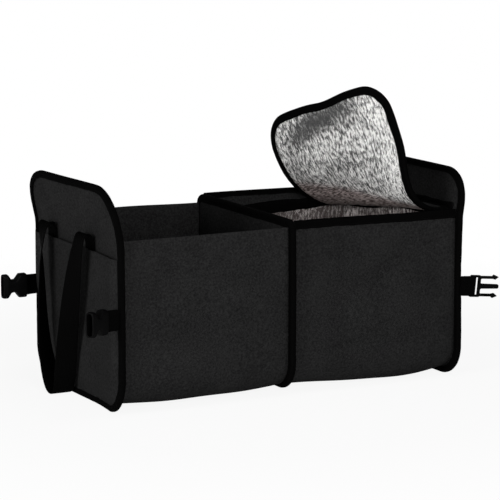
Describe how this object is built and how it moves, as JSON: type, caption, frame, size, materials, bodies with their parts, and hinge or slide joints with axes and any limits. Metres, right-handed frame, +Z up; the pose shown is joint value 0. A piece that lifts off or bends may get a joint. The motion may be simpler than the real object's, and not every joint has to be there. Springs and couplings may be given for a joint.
{
  "type": "car boot organizer with cooler compartment",
  "caption": "Collapsible felt car boot organizer with an open compartment and an insulated, foil-lined cooler compartment under a soft hinged lid, webbing handles and buckle straps.",
  "frame": {"origin": "on the floor, at the middle of the bag's bounding box", "axes": "+X along the bag towards the cooler end, -Y towards the front, +Z up"},
  "size_m": [0.6641, 0.3059, 0.4256],
  "materials": {
    "felt": "matte",
    "ribbon": "matte",
    "webbing": "matte",
    "plastic": "satin",
    "foil": "satin",
    "foam": "matte",
    "board": "matte"
  },
  "bodies": {
    "bag": {"left_outer_felt": "felt", "left_stiffener": "board", "left_inner_felt": "felt", "left_binding": "ribbon", "left_pocket": "felt", "left_handle": "webbing", "right_outer_felt": "felt", "right_stiffener": "board", "right_inner_felt": "felt", "right_binding": "ribbon", "right_pocket": "felt", "right_handle": "webbing", "divider_left_felt": "felt", "divider_foam": "foam", "divider_right_felt": "felt", "divider_binding": "ribbon", "left_compartment_walls": "felt", "left_base_board": "board", "cooler_walls": "felt", "cooler_front_rim_binding": "ribbon", "cooler_back_rim_binding": "ribbon", "cooler_base_board": "board", "insert_foam": "foam", "insert_foil": "foil", "insert_rim_binding": "ribbon", "lid_hinge_tape": "ribbon", "left_front_strap": "webbing", "left_back_strap": "webbing", "right_front_strap": "webbing", "right_back_strap": "webbing", "left_front_socket": "plastic", "left_back_socket": "plastic", "right_front_plug": "plastic", "right_back_plug": "plastic"},
    "lid": {"lid_felt": "felt", "lid_foil": "foil", "lid_binding": "ribbon", "lid_root_hem": "ribbon"}
  },
  "joints": [
    {"name": "lid_hinge", "type": "hinge", "parent": "bag", "child": "lid", "pos_m": [0.2576, 0, 0.246], "axis": [0, 1, 0], "range_deg": [-25, 60]}
  ]
}
